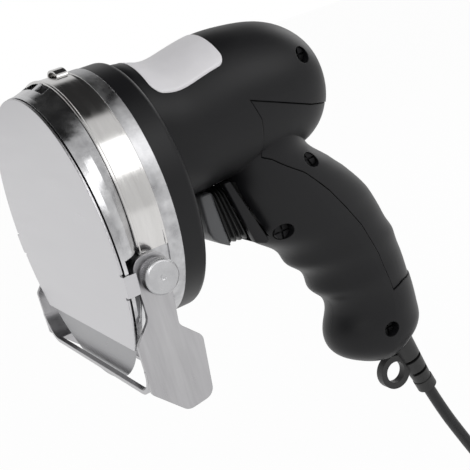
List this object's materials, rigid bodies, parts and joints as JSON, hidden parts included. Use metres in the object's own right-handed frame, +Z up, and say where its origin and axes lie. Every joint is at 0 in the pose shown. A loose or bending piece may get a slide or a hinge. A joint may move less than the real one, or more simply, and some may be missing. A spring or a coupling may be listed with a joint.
{
  "type": "electric kebab slicer",
  "caption": "Handheld electric meat slicer with a round blade behind a face plate, depth bracket, pistol grip with trigger, and mains lead.",
  "frame": {"origin": "middle of the pistol grip, where a hand holds the tool, in its plane of symmetry", "axes": "-Y forward along the blade's axis, from the barrel out of the face plate; +Z up; +X to the tool's left side"},
  "size_m": [0.1182, 0.2614, 0.2624],
  "materials": {
    "black_housing": "satin black moulding",
    "black_rubber": "matt black rubber",
    "black_flex": "satin black cord sheath",
    "black_plug": "satin black",
    "grey_trigger": "satin dark grey",
    "white_label": "bare satin film",
    "cast_alloy": "bright cast",
    "satin_steel": "satin",
    "polished_steel": "polished stainless",
    "blade_steel": "ground",
    "turned_steel": "turned",
    "black_screws": "blackened",
    "machine_steel": "machined",
    "copper": "plain",
    "carbon": "carbon",
    "inner_plastic": "plain",
    "pin_metal": "plated"
  },
  "bodies": {
    "housing": {"housing_left": "black_housing", "housing_right": "black_housing", "back_panel": "black_housing", "housing_screws": "black_screws", "label_plate": "white_label", "flange": "black_housing", "flange_screws": "black_screws", "gear_head": "cast_alloy", "band": "polished_steel", "guard_dish": "polished_steel", "face_plate": "satin_steel", "pivot_studs": "turned_steel", "motor_can": "machine_steel", "motor_end_bracket": "cast_alloy", "motor_brushes": "carbon", "switch_body": "inner_plastic", "terminal_block": "inner_plastic", "cord_clamp": "copper", "strain_relief": "black_rubber", "bracket_washers": "satin_steel", "spindle_bearing": "machine_steel", "tail_bearing": "machine_steel", "motor_bearing_front": "machine_steel", "motor_bearing_rear": "machine_steel", "cord": "black_flex", "cord_coil": "black_flex", "cord_tail": "black_flex", "cord_tie": "black_plug", "plug_body": "black_plug", "plug_pins": "pin_metal"},
    "blade_unit": {"blade": "blade_steel", "blade_screws": "machine_steel", "spindle": "machine_steel", "drive_gear": "machine_steel"},
    "rotor": {"pinion": "machine_steel", "motor_shaft": "machine_steel", "cooling_fan": "inner_plastic", "armature": "machine_steel", "commutator": "copper"},
    "trigger_unit": {"trigger": "grey_trigger", "trigger_boot": "black_rubber", "switch_plunger": "inner_plastic"},
    "bracket_unit": {"depth_bracket": "satin_steel"},
    "left_knob": {"knob_left": "turned_steel"},
    "right_knob": {"knob_right": "turned_steel"}
  },
  "joints": [
    {"name": "blade_spin", "type": "hinge", "parent": "housing", "child": "blade_unit", "pos_m": [0, -0.104, 0.05325], "axis": [0, -1, 0], "continuous": true},
    {"name": "rotor_spin", "type": "hinge", "parent": "housing", "child": "rotor", "pos_m": [0, -0.046, 0.07825], "axis": [0, -1, 0], "continuous": true},
    {"name": "trigger_pull", "type": "slide", "parent": "housing", "child": "trigger_unit", "axis": [0, 1, 0], "range_m": [0, 0.004], "stiffness_N_per_m": 600},
    {"name": "bracket_swing", "type": "hinge", "parent": "housing", "child": "bracket_unit", "pos_m": [0, -0.0946, 0.0456], "axis": [-1, 0, 0], "range_deg": [0, 9.5]},
    {"name": "left_knob_turn", "type": "hinge", "parent": "housing", "child": "left_knob", "pos_m": [0.052, -0.0946, 0.0456], "axis": [1, 0, 0], "range_deg": [-180, 180]},
    {"name": "right_knob_turn", "type": "hinge", "parent": "housing", "child": "right_knob", "pos_m": [-0.052, -0.0946, 0.0456], "axis": [-1, 0, 0], "range_deg": [-180, 180]}
  ],
  "couplings": [
    {"joint": "rotor_spin", "follows": "blade_spin", "ratio": -3.1667}
  ]
}
